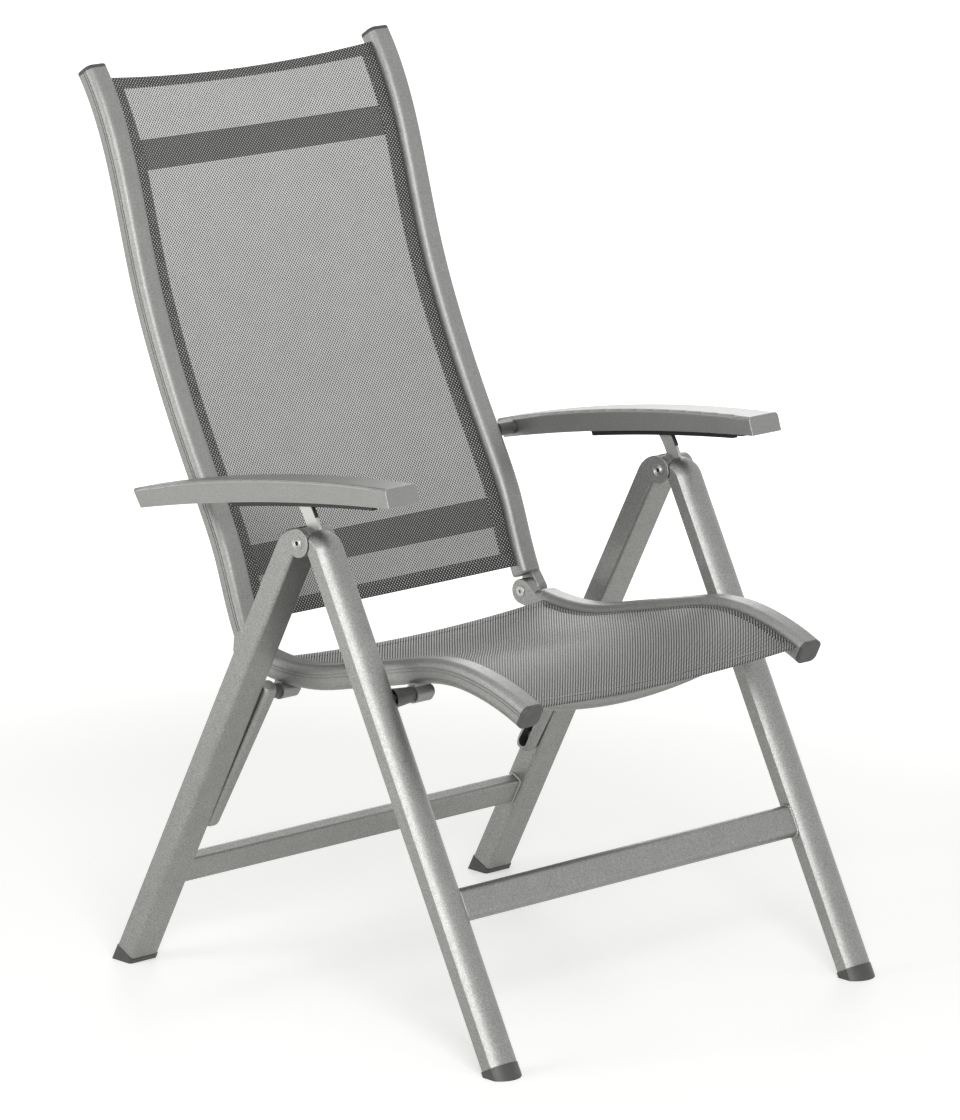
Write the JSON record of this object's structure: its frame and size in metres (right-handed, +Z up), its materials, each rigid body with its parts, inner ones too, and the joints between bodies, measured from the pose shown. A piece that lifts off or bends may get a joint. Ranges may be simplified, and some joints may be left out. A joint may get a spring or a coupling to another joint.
{
  "type": "reclining garden armchair",
  "caption": "Folding garden armchair with a high reclining back, stretched mesh seat and back, flat arched armrests and hinged A-frame legs.",
  "frame": {"origin": "on the floor, midway between the front feet and the top of the back, and midway between the armrests", "axes": "+Z up; the sitter faces -Y, so +X is the sitter's left"},
  "size_m": [0.665, 0.829, 1.0693],
  "materials": {
    "silver_tube": "fine metallic powder coat, satin",
    "post_steel": "metallic paint, satin",
    "rivet_steel": "bright",
    "bolt_steel": "dark, satin",
    "dark_plastic": "moulded, matt",
    "sling_mesh": "coated woven mesh, matt"
  },
  "bodies": {
    "front_frame": {"front_leg_left": "silver_tube", "front_leg_right": "silver_tube", "front_foot_left": "dark_plastic", "front_foot_right": "dark_plastic", "front_stretcher": "silver_tube", "post_left": "post_steel", "post_right": "post_steel", "front_pivot_bolt_left": "bolt_steel", "front_pivot_bolt_right": "bolt_steel", "front_spacer_left": "dark_plastic", "front_spacer_right": "dark_plastic"},
    "rear_frame": {"rear_leg_left": "silver_tube", "rear_leg_right": "silver_tube", "rear_foot_left": "dark_plastic", "rear_foot_right": "dark_plastic", "rear_stretcher": "silver_tube", "leg_rivet_left": "rivet_steel", "leg_rivet_right": "rivet_steel", "link_bolt_left": "bolt_steel", "link_bolt_right": "bolt_steel"},
    "seat": {"seat_rail_left": "silver_tube", "seat_rail_right": "silver_tube", "rail_cap_left": "dark_plastic", "rail_cap_right": "dark_plastic", "seat_front_bar": "silver_tube", "seat_rear_bar": "silver_tube", "seat_knuckle_left": "silver_tube", "seat_knuckle_right": "silver_tube", "back_rivet_left": "rivet_steel", "back_rivet_right": "rivet_steel", "seat_sling": "sling_mesh"},
    "link_left": {"link_left": "silver_tube", "rear_pivot_bolt_left": "bolt_steel", "rear_spacer_left": "dark_plastic"},
    "link_right": {"link_right": "silver_tube", "rear_pivot_bolt_right": "bolt_steel", "rear_spacer_right": "dark_plastic"},
    "back": {"back_tube_left": "silver_tube", "back_tube_right": "silver_tube", "back_cap_left": "dark_plastic", "back_cap_right": "dark_plastic", "back_knuckle_left": "silver_tube", "back_knuckle_right": "silver_tube", "back_upper_bar": "silver_tube", "back_lower_bar": "silver_tube", "back_sling": "sling_mesh", "arm_pivot_bolt_left": "dark_plastic", "arm_pivot_bolt_right": "dark_plastic"},
    "armrest_left": {"armrest_left": "silver_tube", "arm_rack_left": "dark_plastic"},
    "armrest_right": {"armrest_right": "silver_tube", "arm_rack_right": "dark_plastic"}
  },
  "joints": [
    {"name": "fold", "type": "hinge", "parent": "front_frame", "child": "rear_frame", "pos_m": [0, -0.06132, 0.57404], "axis": [-1, 0, 0], "range_deg": [0, 25]},
    {"name": "seat_swing", "type": "hinge", "parent": "front_frame", "child": "seat", "pos_m": [0, -0.17711, 0.40259], "axis": [-1, 0, 0], "range_deg": [0, 11.21]},
    {"name": "link_swing_left", "type": "hinge", "parent": "seat", "child": "link_left", "pos_m": [0.272, 0.0487, 0.36297], "axis": [-1, 0, 0], "range_deg": [0, 41.49]},
    {"name": "link_swing_right", "type": "hinge", "parent": "seat", "child": "link_right", "pos_m": [-0.272, 0.0487, 0.36297], "axis": [-1, 0, 0], "range_deg": [0, 41.49]},
    {"name": "recline", "type": "hinge", "parent": "seat", "child": "back", "pos_m": [0, 0.10866, 0.399], "axis": [-1, 0, 0], "range_deg": [0, 28]},
    {"name": "armrest_turn_left", "type": "hinge", "parent": "back", "child": "armrest_left", "pos_m": [0.2675, 0.18871, 0.58598], "axis": [-1, 0, 0], "range_deg": [-19.33, 0]},
    {"name": "armrest_turn_right", "type": "hinge", "parent": "back", "child": "armrest_right", "pos_m": [-0.2675, 0.18871, 0.58598], "axis": [-1, 0, 0], "range_deg": [-19.33, 0]}
  ],
  "couplings": [
    {"joint": "seat_swing", "follows": "fold", "ratio": 0.448},
    {"joint": "link_swing_left", "follows": "fold", "ratio": 1.6592},
    {"joint": "link_swing_right", "follows": "fold", "ratio": 1.6592},
    {"joint": "armrest_turn_left", "follows": "recline", "ratio": -0.69},
    {"joint": "armrest_turn_right", "follows": "recline", "ratio": -0.69}
  ]
}
